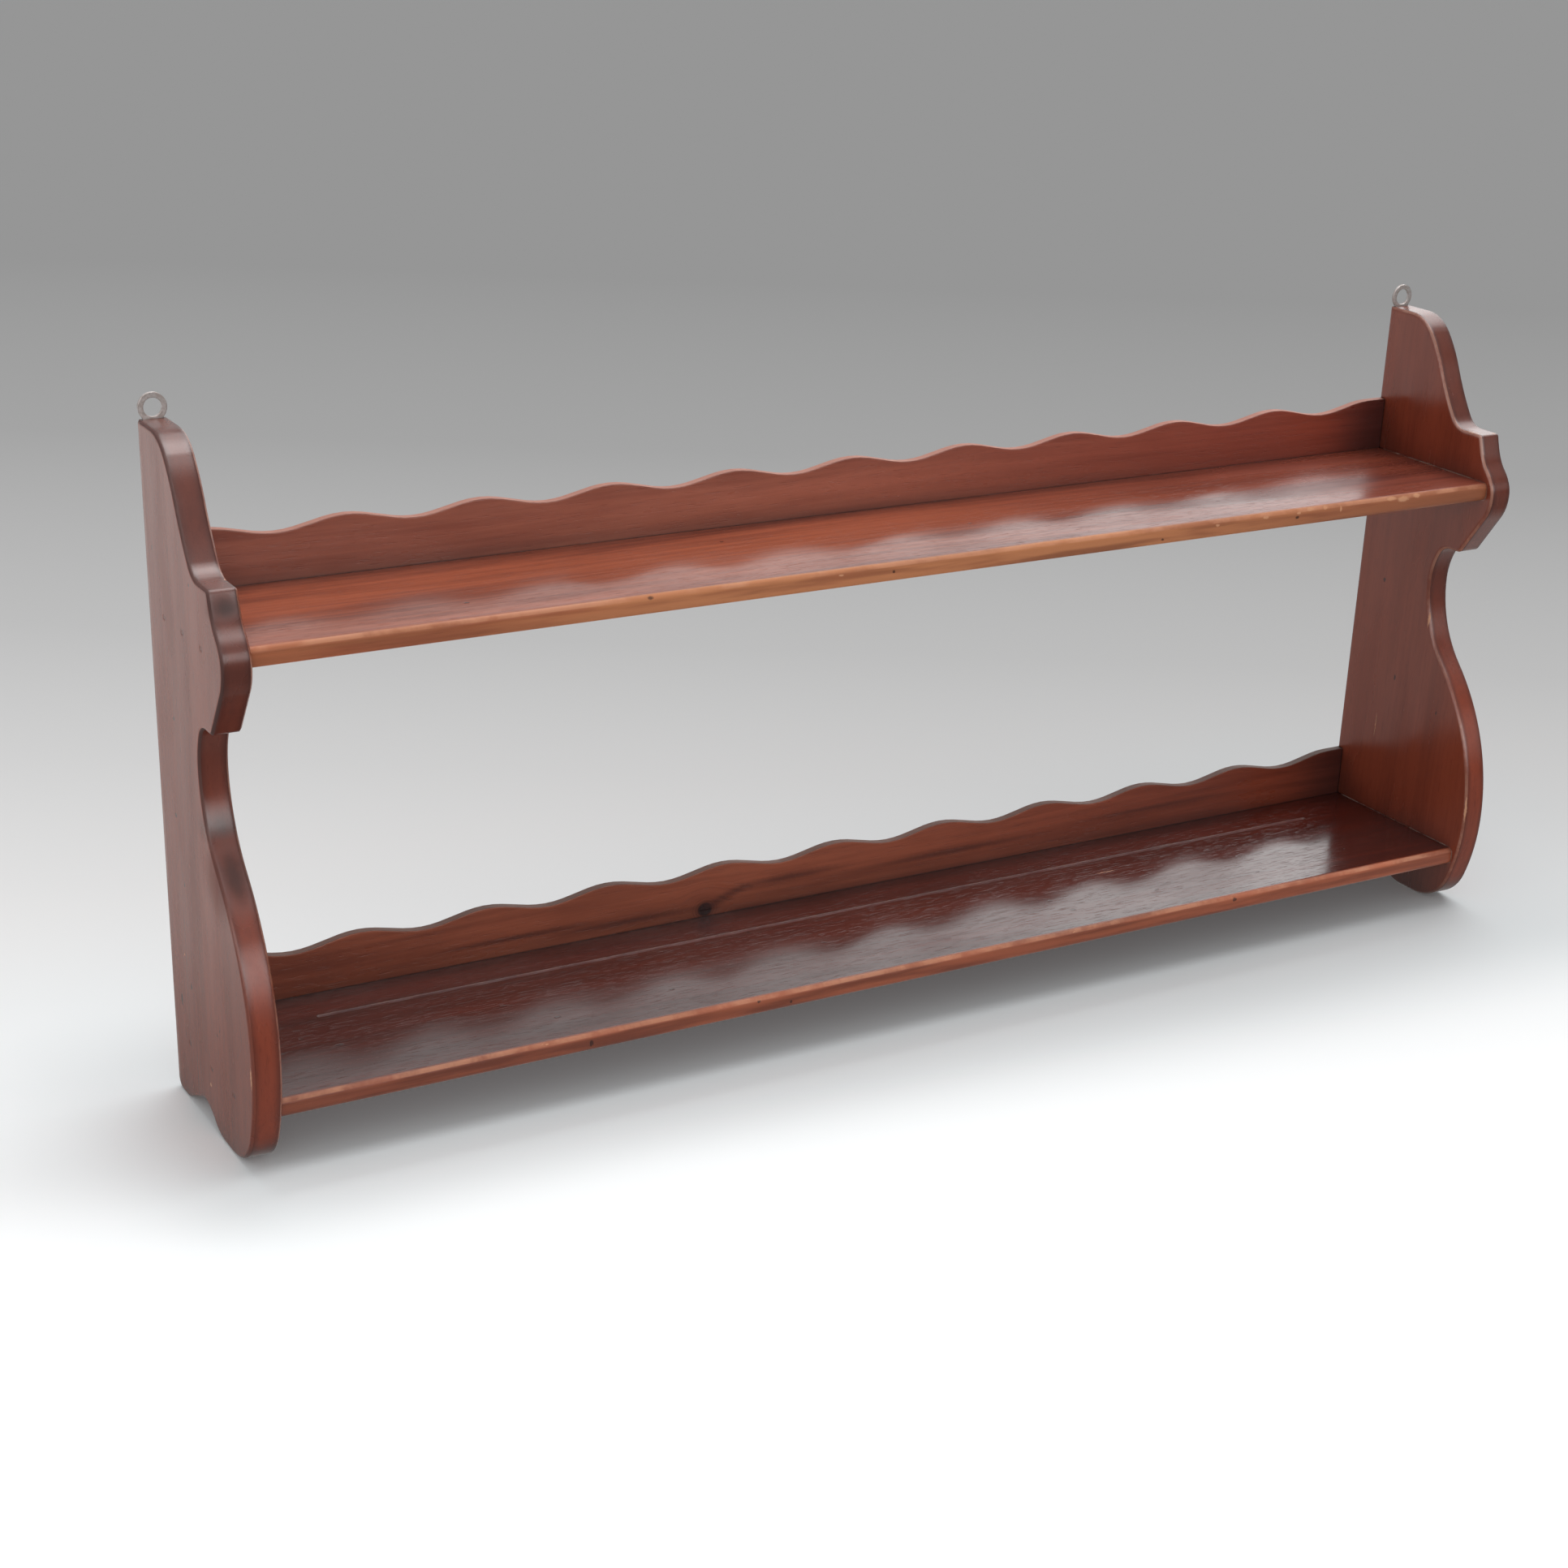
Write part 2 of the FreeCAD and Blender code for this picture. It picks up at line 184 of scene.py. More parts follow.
def noise(tree, place, size, detail=2.0, roughness=0.5):
    node = new_node(tree, "ShaderNodeTexNoise",
                    {"Vector": place, "Scale": size, "Detail": detail, "Roughness": roughness})
    return node.outputs["Fac"]


def stretched_noise(tree, place, scale, detail, roughness=0.5):
    """Noise with a size of its own along each axis."""
    scaled = new_node(tree, "ShaderNodeMapping", {"Vector": place, "Scale": scale}).outputs[0]
    return noise(tree, scaled, 1.0, detail, roughness)


def span(tree, value, low, high, to_low=0.0, to_high=1.0, smooth=True):
    """Maps a value from one span to another, held at both ends."""
    node = new_node(tree, "ShaderNodeMapRange",
                    {"Value": value, "From Min": low, "From Max": high, "To Min": to_low,
                     "To Max": to_high},
                    interpolation_type="SMOOTHSTEP" if smooth else "LINEAR")
    return node.outputs[0]


def corner_openness(tree, reach):
    """1 in the open, less in a corner or a seam within reach."""
    return new_node(tree, "ShaderNodeAmbientOcclusion", {"Distance": reach},
                    samples=CORNER_SAMPLES).outputs["AO"]


def rounded_normal(tree, radius):
    """The surface's normal with its edges rounded off."""
    return new_node(tree, "ShaderNodeBevel", {"Radius": radius},
                    samples=BEVEL_SAMPLES).outputs[0]


def new_group(name, inputs, outputs):
    """An empty shader group. inputs and outputs are (name, kind) pairs."""
    tree = bpy.data.node_groups.new(name, "ShaderNodeTree")
    for label, kind in inputs:
        tree.interface.new_socket(label, in_out="INPUT", socket_type="NodeSocket" + kind)
    for label, kind in outputs:
        tree.interface.new_socket(label, in_out="OUTPUT", socket_type="NodeSocket" + kind)
    return tree, tree.nodes.new("NodeGroupInput"), tree.nodes.new("NodeGroupOutput")


def use_group(tree, group, inputs):
    node = tree.nodes.new("ShaderNodeGroup")
    node.node_tree = group
    for key, value in inputs.items():
        if isinstance(value, bpy.types.NodeSocket):
            tree.links.new(value, node.inputs[key])
        else:
            node.inputs[key].default_value = value
    return node


def new_material(name):
    material = bpy.data.materials.new(name)
    material.use_nodes = True
    material.node_tree.nodes.clear()
    return material, material.node_tree


def finish_material(tree, shader):
    output = tree.nodes.new("ShaderNodeOutputMaterial")
    tree.links.new(shader.outputs[0], output.inputs["Surface"])


# ---------------------------------------------------------------- node groups

def make_grain_group():
    """Varnished mahogany, its grain along X: broad figure, fine streaks and short open pores."""
    tree, given, out = new_group(
        "mahogany_grain",
        [("Place", "Vector"), ("Light", "Color"), ("Dark", "Color"), ("Figure", "Float")],
        [("Colour", "Color"), ("Height", "Float"), ("Sheen", "Float")])
    place = given.outputs["Place"]
    sway = maths(tree, "MULTIPLY", stretched_noise(tree, place, (2.0, 5.0, 5.0), 1.0), 0.03)
    aside = new_node(tree, "ShaderNodeCombineXYZ", {"Y": sway, "Z": sway}).outputs[0]
    swayed = vectors(tree, "ADD", place, aside)
    broad = stretched_noise(tree, swayed, (1.6, 30.0, 30.0), 3.0, 0.55)
    streak = stretched_noise(tree, swayed, (6.0, 240.0, 240.0), 3.0, 0.6)
    pores = span(tree, stretched_noise(tree, swayed, (70.0, 1500.0, 1500.0), 1.0), 0.60, 0.72)
    smear = stretched_noise(tree, place, (7.0, 30.0, 30.0), 4.0, 0.6)
    tone = maths(tree, "ADD", span(tree, broad, 0.30, 0.70, -0.1, 0.60),
                 span(tree, streak, 0.30, 0.70, 0.0, 0.40))
    tone = maths(tree, "ADD", tone, span(tree, smear, 0.35, 0.75, -0.15, 0.25))
    tone = times(tree, tone, given.outputs["Figure"])
    wood = mix_colours(tree, tone, given.outputs["Light"], given.outputs["Dark"])
    wood = mix_colours(tree, times(tree, pores, 0.22), wood, given.outputs["Dark"], "MULTIPLY")
    tree.links.new(wood, out.inputs["Colour"])
    height = maths(tree, "SUBTRACT", times(tree, streak, 0.5), pores)
    tree.links.new(height, out.inputs["Height"])
    tree.links.new(smear, out.inputs["Sheen"])
    return tree


def make_edge_group():
    """Masks for worn edges, for hollows, which take painted shade on the wood, and for the seam
    where two pieces meet.
    """
    tree, given, out = new_group(
        "edges_and_hollows",
        [("Place", "Vector"), ("Edge radius", "Float"), ("Hollow reach", "Float")],
        [("Worn", "Float"), ("Hollow", "Float"), ("Seam", "Float")])
    true_normal = new_node(tree, "ShaderNodeNewGeometry").outputs["Normal"]
    rounded = rounded_normal(tree, given.outputs["Edge radius"])
    edge = span(tree, vectors(tree, "DOT_PRODUCT", true_normal, rounded, output="Value"),
                0.985, 0.80)
    patchy = span(tree, noise(tree, given.outputs["Place"], 55.0, 4.0, 0.65), 0.42, 0.62)
    around = corner_openness(tree, given.outputs["Hollow reach"])
    beside = corner_openness(tree, SEAM_WIDTH)
    worn = times(tree, edge, patchy, span(tree, around, 0.4, 0.8))
    tree.links.new(worn, out.inputs["Worn"])
    tree.links.new(span(tree, around, 0.80, 0.30), out.inputs["Hollow"])
    tree.links.new(span(tree, beside, 0.80, 0.45), out.inputs["Seam"])
    return tree


def make_marks_group(name, marks, fade=(1.15, 0.6)):
    """One mask, 1 inside each mark. marks holds (centre in mm, half sizes in mm) pairs.

    fade is where a mark ends and where it is full, as shares of its half sizes.
    """
    tree, given, out = new_group(name, [("Place", "Vector")], [("Mask", "Float")])
    place = given.outputs["Place"]
    ragged = new_node(tree, "ShaderNodeTexNoise", {"Vector": place, "Scale": 420.0, "Detail": 1.0})
    shift = vectors(tree, "SUBTRACT", ragged.outputs["Color"], (0.5, 0.5, 0.5))
    place = vectors(tree, "MULTIPLY_ADD", shift, (0.0016, 0.0016, 0.0016), place)
    mask = None
    for centre, half_sizes in marks:
        offset = vectors(tree, "SUBTRACT", place, [c / 1000 for c in centre])
        scaled = vectors(tree, "MULTIPLY", offset, [1000 / h for h in half_sizes])
        inside = span(tree, length(tree, scaled), *fade)
        mask = inside if mask is None else maths(tree, "MAXIMUM", mask, inside)
    tree.links.new(mask, out.inputs["Mask"])
    return tree


GRAIN = make_grain_group()
EDGES = make_edge_group()

# Marks of use, and patches of painted shade: (centre, half sizes) in mm.
LOWER_SHELF_DENTS = make_marks_group("lower_shelf_dents", [
    ((-439, 7, 50), (1.6, 1.2, 2)), ((-420, -11, 50), (3.0, 1.4, 2)),
    ((-301, -4, 50), (2.2, 1.2, 2)), ((-276, -35, 50), (2.6, 1.6, 2)),
    ((-188, -30, 50), (2.0, 1.4, 2)), ((-55, -8, 50), (1.8, 1.2, 2)),
    ((20, -53, 50), (3.6, 1.2, 2)), ((134, -16, 50), (2.0, 1.2, 2)),
    ((140, -37, 50), (2.4, 1.4, 2)), ((219, -33, 50), (2.0, 1.4, 2)),
    ((311, -38, 50), (1.8, 1.3, 2)), ((-267, -67.5, 43), (1.6, 2, 2.4)),
    ((-141, -67.5, 47), (1.2, 2, 1.0)), ((-116, -67.5, 42), (1.2, 2, 1.2)),
    ((266, -67.5, 46.5), (1.8, 2, 1.6)), ((-95, 31, 50), (1.4, 4.0, 2)),
    ((-330, 26, 50), (1.6, 1.0, 2)), ((402, -30, 50), (1.4, 1.0, 2))])
LOWER_SHELF_CHIPS = make_marks_group("lower_shelf_chips", [
    ((-30, -67, 49.5), (7, 1.0, 0.8)), ((350, -67, 49.5), (5, 1.0, 0.8)),
    ((205, 12, 50), (9, 0.5, 2)), ((-300, -67, 49), (4, 1.0, 0.7)),
    ((120, -67.5, 48.5), (3, 1.0, 0.7))])
UPPER_SHELF_DENTS = make_marks_group("upper_shelf_dents", [
    ((-219, -51.8, 335.6), (2.6, 2, 2.0)), ((60, 10, 337), (2.2, 1.2, 2)),
    ((-330, -20, 337), (2.0, 1.4, 2)), ((-120, 38, 337), (1.6, 1.2, 2)),
    ((260, -10, 337), (1.8, 1.2, 2)), ((-40, -51.5, 331), (1.3, 2, 1.2)),
    ((180, -51.5, 328), (1.2, 2, 1.0)), ((300, -51.5, 331), (1.8, 2, 1.2))])
UPPER_SHELF_CHIPS = make_marks_group("upper_shelf_chips", [
    ((312, -51, 336), (4.0, 1.6, 1.6)), ((326, -51, 335.5), (2.4, 1.6, 1.6)),
    ((388, -51, 335.5), (5.0, 1.8, 2.0)), ((399, -51, 334), (6.0, 1.8, 2.2)),
    ((412, -51, 335.5), (3.5, 1.8, 1.8)), ((340, -51.5, 333), (0.9, 1.5, 2.6)),
    ((271, -51.5, 334), (3.0, 1.5, 1.0)), ((228, -51.5, 333), (2.0, 1.5, 1.0)),
    ((301, -51.5, 334), (2.0, 1.5, 1.0)), ((-80, -51.5, 333), (2.0, 1.5, 0.8))])
BOARD_DENTS = make_marks_group("board_dents", [
    ((-500, 61.8, 370), (2, 1.2, 1.9)), ((-500, -5, 364.6), (2, 1.2, 1.2)),
    ((-500, 39, 268), (2, 2.0, 1.2)), ((-500, 46, 202), (2, 1.6, 1.8)),
    ((-500, 37.4, 158), (2, 1.1, 2.0)), ((-500, 36, 88), (2, 1.5, 2.4)),
    ((-500, 57.4, 70.7), (2, 2.0, 4.4)), ((-500, -11.4, 74), (2, 0.9, 1.5)),
    ((-500, -16, 79), (2, 0.7, 1.1)), ((481, 45, 237), (2, 1.6, 2.0)),
    ((481, 52, 300), (2, 1.0, 2.4)), ((481, 20, 164), (2, 1.2, 2.6)),
    ((481, -30, 150), (2, 1.0, 1.6)), ((500, 12, 210), (2, 1.8, 2.4)),
    ((500, -30, 60), (2, 1.6, 2.0))])
BOARD_CHIPS = make_marks_group("board_chips", [
    ((481, -9, 225), (2, 1.1, 12)), ((-481.5, -69, 102), (1.6, 1.6, 3.0)),
    ((-481.5, -68, 72), (1.6, 1.6, 2.4)), ((-499.5, -72, 71), (1.2, 1.6, 8.0)),
    ((-482, -20, 371), (1.6, 2.0, 1.6)), ((484, -27, 374), (6.0, 11.0, 4.5)),
    ((496, -35, 371), (4.0, 3.0, 1.2)), ((482, -74.5, 86), (0.9, 1.2, 12)),
    ((-500, 46.4, 106.3), (2, 1.0, 1.0)), ((-500, 7.6, 31), (2, 1.3, 1.6)),
    ((-481.5, -13.8, 194.6), (1.4, 1.3, 1.6)), ((481, 35, 120), (2, 0.4, 10))])
# patches of painted shade on the left board's front edge
BOARD_SHADE_PATCHES = make_marks_group("board_shade_patches", [
    ((-490, -40, 359), (12, 12, 10)), ((-490, -7, 212), (14, 18, 14)),
    ((-490, -27, 184), (14, 34, 36))], fade=(1.2, 0.1))
GALLERY_STREAKS = make_marks_group("gallery_streaks", [
    ((-104, 69.5, 58), (9, 4, 3.4)), ((-99, 69.5, 60), (9, 4, 3.4)),
    ((-94, 69.5, 62), (9, 4, 3.4)), ((-89, 69.5, 64), (9, 4, 3.2)),
    ((-83, 69.5, 66), (10, 4, 3.2)), ((-76, 69.5, 67.5), (12, 4, 3.0)),
    ((-40, 69.5, 68.5), (50, 4, 3.6)), ((-165, 69.5, 58), (60, 4, 2.8)),
    ((-260, 69.5, 62), (70, 4, 2.6)), ((110, 69.5, 64), (90, 4, 3.2)),
    ((290, 69.5, 68), (80, 4, 2.8))], fade=(1.3, 0.0))


# ---------------------------------------------------------------- varnished wood

class Surface:
    """A wood surface while its nodes are laid: its place, its facing, and its looks so far."""

    def __init__(self, tree):
        self.tree = tree
        self.here = tree.nodes.new("ShaderNodeTexCoord").outputs["Object"]
        self.axes = parts_of(tree, self.here)
        normal = tree.nodes.new("ShaderNodeNewGeometry").outputs["Normal"]
        self.facing = parts_of(tree, normal)
        self.from_middle = maths(tree, "ABSOLUTE", self.axes["X"])
        self.wood = None
        self.rough = None
        self.height = None

    def paint(self, share, shade, blend="MIX"):
        self.wood = mix_colours(self.tree, share, self.wood, shade, blend)

    def dull(self, share, amount):
        self.rough = maths(self.tree, "MULTIPLY_ADD", share, amount, self.rough)

    def across(self, axis, *ends):
        """A span along one axis of the rack."""
        return span(self.tree, self.axes[axis], *ends)

    def patches(self, size, detail, roughness, *ends):
        return span(self.tree, noise(self.tree, self.here, size, detail, roughness), *ends)

    def marks(self, group):
        return use_group(self.tree, group, {"Place": self.here}).outputs["Mask"]


def turn_grain_round(surface, knot):
    """The grain's place, swept round a knot, and the distance from the knot."""
    tree = surface.tree
    offset = vectors(tree, "SUBTRACT", surface.here, knot)
    from_knot = length(tree, vectors(tree, "MULTIPLY", offset, KNOT_OVAL))
    spread = span(tree, from_knot, 0.024, 0.002, 0.0, -0.8)
    return vectors(tree, "MULTIPLY_ADD", offset, spread, surface.here), from_knot


def paint_shade_on_sides(surface, low_shade, high_shade):
    """Paints shade on a board's narrow faces, low and high places each their own way, and more
    painted shade along their rims.
    """
    tree = surface.tree
    along_x = maths(tree, "ABSOLUTE", surface.facing["X"])
    sideways = span(tree, along_x, 0.8, 0.5)
    shade = mix_colours(tree, surface.across("Z", *SIDE_SHADE_RISE), low_shade, high_shade)
    # painted shade on the narrow faces, most of it high up
    surface.paint(sideways, shade, "MULTIPLY")
    off_centre = maths(tree, "ABSOLUTE",
                       maths(tree, "SUBTRACT", surface.from_middle, BOARD_CENTRE))
    rim_shaded = times(tree, sideways, span(tree, off_centre, 0.003, 0.0085, 0.0, 0.5))
    # painted shade along the rims of the narrow faces
    surface.paint(rim_shaded, RIM_SHADE)


def pale_front_edge(surface, place, shade, left, middle, right):
    """A paler, duller front edge at Y = place, in shares along the shelf, with a rubbed arris."""
    tree = surface.tree
    band = surface.across("Y", place + 0.0045, place + 0.002)
    share = maths(tree, "ADD", surface.across("X", *FRONT_LEFT_PART, left, middle),
                  surface.across("X", *FRONT_RIGHT_PART, 0.0, right - middle))
    patch = stretched_noise(tree, surface.here, (10.0, 30.0, 150.0), 3.0)
    share = times(tree, share, span(tree, patch, 0.36, 0.62, 0.55, 1.15))
    surface.paint(times(tree, band, share), shade)
    surface.dull(band, 0.16)
    between = times(tree, surface.facing["Y"], surface.facing["Z"], -1.0)
    arris = span(tree, between, 0.25, 0.4)
    worn_off = surface.patches(30.0, 4.0, 0.65, 0.38, 0.62, 0.1, 0.55)
    surface.paint(times(tree, arris, band, worn_off), RUBBED_FRONT)
    surface.dull(arris, 0.25)


def draw_knot(surface, from_knot):
    tree = surface.tree
    rings = maths(tree, "SINE", times(tree, from_knot, KNOT_RING_TURN))
    ringed = times(tree, span(tree, rings, -0.6, 1.0, 0.25, 0.7),
                   span(tree, from_knot, 0.011, 0.004))
    surface.paint(ringed, KNOT_RING)
    surface.paint(span(tree, from_knot, 0.0062, 0.0032), KNOT_CORE)


def wear_board_arrises(surface):
    """Darkens outer arrises, most of it high up. Gives the mask of the rubbed inner arrises."""
    tree = surface.tree
    along_x = maths(tree, "ABSOLUTE", surface.facing["X"])
    eased = times(tree, span(tree, along_x, 0.25, 0.5), span(tree, along_x, 0.97, 0.85))
    outer = span(tree, surface.from_middle, BOARD_CENTRE - 0.001, BOARD_CENTRE + 0.001)
    patchy = surface.patches(40.0, 4.0, 0.65, 0.40, 0.62, 0.15, 1.0)
    darkened = times(tree, eased, outer, surface.across("Z", *ARRIS_DARK_RISE))
    surface.paint(darkened, ARRIS_DARK)
    surface.dull(darkened, 0.4)
    return times(tree, eased, patchy, maths(tree, "SUBTRACT", 1.0, outer))


def paint_back_edge_highlight(surface):
    """A painted highlight on the outer faces along the wall, where the rounded back edge catches
    the light.
    """
    tree = surface.tree
    line = times(tree, surface.across("Y", WALL - 0.0065, WALL - 0.0030),
                 span(tree, surface.from_middle, HALF_LENGTH - 0.0008, HALF_LENGTH - 0.0002),
                 surface.patches(25.0, 3.0, 0.5, 0.35, 0.6, 0.08, 0.32))
    # painted highlight along the back edge
    surface.paint(line, BACK_EDGE_HIGHLIGHT)


def paint_shade_patches(surface, shade_patches):
    """Dark patches of painted shade on the front edge, where the board's overhangs and the upper
    shelf hide light the varnish would mirror. Dull high up and by the waist, and glossy between.
    """
    tree = surface.tree
    dull = surface.marks(shade_patches)
    # painted shade where the mirrored light is hidden
    surface.paint(times(tree, dull, 0.88), SHADE_PATCH_COLOUR)
    amount = maths(tree, "ADD", surface.across("Z", *SHADE_PATCHES_DULL_HIGH),
                   surface.across("Z", *SHADE_PATCHES_DULL_LOW))
    surface.dull(dull, amount)


def paint_light_on_tops(surface, shade):
    """Gives faces that look up a painted tone for the light and reflection they catch, and dulls
    them.
    """
    upward = span(surface.tree, surface.facing["Z"], 0.5, 0.8)
    # painted light and shade on the tops: a pale sheen on the upper gallery, shade on the lower
    surface.paint(times(surface.tree, upward, 0.85), shade)
    surface.dull(upward, 0.4)


def fill_seams(surface, seam, end):
    """Dark seams. Further than end from the middle, and in front of the galleries, light polish
    fills them, more of it to the right."""
    tree = surface.tree
    at_end = times(tree, span(tree, surface.from_middle, end, end + 0.002),
                   surface.across("Y", *BEFORE_GALLERY))
    surface.paint(times(tree, seam, maths(tree, "SUBTRACT", 1.0, at_end), 0.8), SEAM_DIRT)
    polish = times(tree, surface.across("X", *SEAM_POLISH_PART),
                   surface.patches(90.0, 2.0, 0.5, 0.40, 0.58, 0.25, 1.0))
    surface.paint(times(tree, seam, at_end, polish), SEAM_POLISH)


def dull_groove(surface, middle):
    tree = surface.tree
    aside = maths(tree, "ABSOLUTE", maths(tree, "SUBTRACT", surface.axes["Y"], middle))
    cut = times(tree, span(tree, aside, 0.0018, 0.0009),
                span(tree, surface.from_middle, GROOVE_END + 0.001, GROOVE_END - 0.003),
                surface.patches(60.0, 3.0, 0.5, 0.38, 0.6, 0.3, 1.0))
    surface.dull(cut, 0.3)


def varnished_wood(name, light, dark, grain_turn, figure=1.0, roughness=0.24, edge_radius=0.0016,
                   worn=0.35, dents=None, chips=None, streaks=None, shade_patches=None, seam_end=None,
                   front=None, knot=None, groove=None, right_end_shade=None, right_corner_shade=None,
                   side_shades=None, top_light_tone=None, board_arrises=False, back_highlight=False,
                   dull_end=None, cup=0.0, twist=0.0, relief=1.0, ior=1.5):
    """Stained and varnished wood, between two colours, light and dark.

    grain_turn lays the grain's X along the piece. figure is how strongly the grain shows, relief
    how deep it is, and worn how bare the edges are.
    dents, chips and streaks are groups of marks, and shade_patches a group of patches of painted
    shade. seam_end is the distance from the middle past which light polish fills the seams. front
    holds what pale_front_edge takes. knot is a knot's centre, and groove the Y of a groove.
    right_end_shade and right_corner_shade multiply the colour with painted shade towards the right
    end and at it, side_shades paint shade on the narrow faces of a board, low and high, and
    top_light_tone is a painted tone for the light and reflection on tops. board_arrises darkens
    and rubs a board's arrises, and back_highlight paints a highlight along its wall edge. dull_end
    is added to the roughness at the right end. cup is the slope across a hollowed board, and twist
    its growth along X.
    """
    material, tree = new_material(name)
    surface = Surface(tree)
    grain_place, from_knot = surface.here, None
    if knot is not None:
        grain_place, from_knot = turn_grain_round(surface, knot)
    along = new_node(tree, "ShaderNodeMapping",
                     {"Vector": grain_place, "Rotation": grain_turn}).outputs[0]
    grain = use_group(tree, GRAIN, {"Place": along, "Light": light, "Dark": dark, "Figure": figure})
    edges = use_group(tree, EDGES, {"Place": surface.here, "Edge radius": edge_radius,
                                    "Hollow reach": HOLLOW_REACH})
    surface.wood = grain.outputs["Colour"]
    surface.height = grain.outputs["Height"]
    surface.rough = span(tree, grain.outputs["Sheen"], 0.3, 0.7,
                         roughness - 0.06, roughness + 0.08)
    rubbed = edges.outputs["Worn"]

    # painted shade: darker towards the right end, and more at the right corner, for the right
    # board's shadow
    if right_end_shade is not None:
        surface.paint(surface.across("X", *RIGHT_END_SHADE_PART), right_end_shade, "MULTIPLY")
    if right_corner_shade is not None:
        surface.paint(surface.across("X", *RIGHT_CORNER_SHADE_PART), right_corner_shade, "MULTIPLY")
    if side_shades is not None:
        paint_shade_on_sides(surface, *side_shades)
    if dull_end is not None:
        surface.dull(surface.across("X", *DULL_END_PART), dull_end)
    if front is not None:
        pale_front_edge(surface, **front)
    if knot is not None:
        draw_knot(surface, from_knot)
    if streaks is not None:
        surface.paint(times(tree, surface.marks(streaks), 0.7), STREAK_STAIN)
    if board_arrises:
        rubbed = wear_board_arrises(surface)
    surface.paint(times(tree, rubbed, worn), BARE_WOOD)
    if back_highlight:
        paint_back_edge_highlight(surface)
    if shade_patches is not None:
        paint_shade_patches(surface, shade_patches)
    if top_light_tone is not None:
        paint_light_on_tops(surface, top_light_tone)
    # painted shade: the wood is darkened in corners and seams, within reach of other parts
    surface.paint(times(tree, edges.outputs["Hollow"], 0.6), PAINTED_HOLLOW_SHADE)
    if seam_end is not None:
        fill_seams(surface, edges.outputs["Seam"], seam_end)
    if chips is not None:
        pale = surface.marks(chips)
        surface.paint(times(tree, pale, 0.8), CHIPPED_WOOD)
        surface.dull(pale, 0.25)
    if dents is not None:
        pits = surface.marks(dents)
        surface.paint(times(tree, pits, 0.78), DENT_DIRT)
        surface.height = maths(tree, "SUBTRACT", surface.height, times(tree, pits, 2.0))
    if groove is not None:
        dull_groove(surface, groove)

    sway = stretched_noise(tree, along, (5.0, 16.0, 16.0), 1.0)
    height = times(tree, surface.height, relief)
    height = maths(tree, "MULTIPLY_ADD", sway, 2.2, height)
    slope = maths(tree, "MULTIPLY_ADD", surface.axes["X"], twist / GRAIN_STEP, cup / GRAIN_STEP)
    height = maths(tree, "MULTIPLY_ADD", surface.axes["Y"], slope, height)
    bump = new_node(tree, "ShaderNodeBump",
                    {"Strength": 1.0, "Distance": GRAIN_STEP, "Height": height,
                     "Normal": rounded_normal(tree, edge_radius)})
    shader = new_node(tree, "ShaderNodeBsdfPrincipled",
                      {"Base Color": surface.wood, "Roughness": surface.rough,
                       "Normal": bump.outputs[0], "IOR": ior})
    finish_material(tree, shader)
    return material


def old_metal(name, base, tarnish):
    """Dull metal with blotches of tarnish, darker in its corners."""
    material, tree = new_material(name)
    here = tree.nodes.new("ShaderNodeTexCoord").outputs["Object"]
    blotch = noise(tree, here, 260.0, 4.0, 0.6)
    edges = use_group(tree, EDGES, {"Place": here, "Edge radius": METAL_EDGE,
                                    "Hollow reach": 0.004})
    metal = mix_colours(tree, span(tree, blotch, 0.35, 0.65), base, tarnish)
    # darker in the corners, by how enclosed they are
    metal = mix_colours(tree, times(tree, edges.outputs["Hollow"], 0.5), metal, METAL_CORNER_DARK)
    bump = new_node(tree, "ShaderNodeBump",
                    {"Strength": 0.25, "Distance": 0.0003, "Height": blotch,
                     "Normal": rounded_normal(tree, METAL_EDGE)})
    shader = new_node(tree, "ShaderNodeBsdfPrincipled",
                      {"Base Color": metal, "Metallic": 1.0,
                       "Roughness": span(tree, blotch, 0.3, 0.7, 0.42, 0.65),
                       "Normal": bump.outputs[0]})
    finish_material(tree, shader)
    return material


board_wood = varnished_wood(
    "board_wood", colour(146, 70, 48), colour(100, 45, 32), ALONG_Z, figure=0.5, roughness=0.22,
    edge_radius=0.0030, worn=0.4, relief=0.35, dents=BOARD_DENTS, chips=BOARD_CHIPS,
    shade_patches=BOARD_SHADE_PATCHES, seam_end=0.4, board_arrises=True, back_highlight=True,
    side_shades=(tint(0.98, 0.82, 0.70), tint(0.54, 0.56, 0.64)))
upper_shelf_wood = varnished_wood(
    "upper_shelf_wood", colour(168, 88, 60), colour(116, 56, 40), ALONG_X, figure=1.2,
    roughness=0.16, relief=0.7, dents=UPPER_SHELF_DENTS, chips=UPPER_SHELF_CHIPS,
    seam_end=BOARD_INNER - 0.004, right_end_shade=tint(0.55, 0.5, 0.6), dull_end=0.12,
    front={"place": UPPER_FRONT, "shade": colour(202, 132, 88),
           "left": 0.3, "middle": 0.78, "right": 0.3},
    cup=0.055, twist=0.05, ior=1.34)
lower_shelf_wood = varnished_wood(
    "lower_shelf_wood", colour(94, 36, 26), colour(62, 21, 15), ALONG_X, roughness=0.17,
    dents=LOWER_SHELF_DENTS, chips=LOWER_SHELF_CHIPS, seam_end=BOARD_INNER - 0.004,
    front={"place": LOWER_FRONT, "shade": colour(186, 101, 68),
           "left": 0.4, "middle": 0.64, "right": 0.88},
    groove=GROOVE_MIDDLE, cup=-0.05, twist=0.07)
upper_gallery_wood = varnished_wood(
    "upper_gallery_wood", colour(186, 116, 92), colour(144, 82, 64), ALONG_X, roughness=0.3,
    seam_end=BOARD_INNER - 0.003, right_end_shade=tint(0.72, 0.42, 0.38),
    right_corner_shade=tint(0.36, 0.46, 0.66), top_light_tone=colour(170, 120, 106))
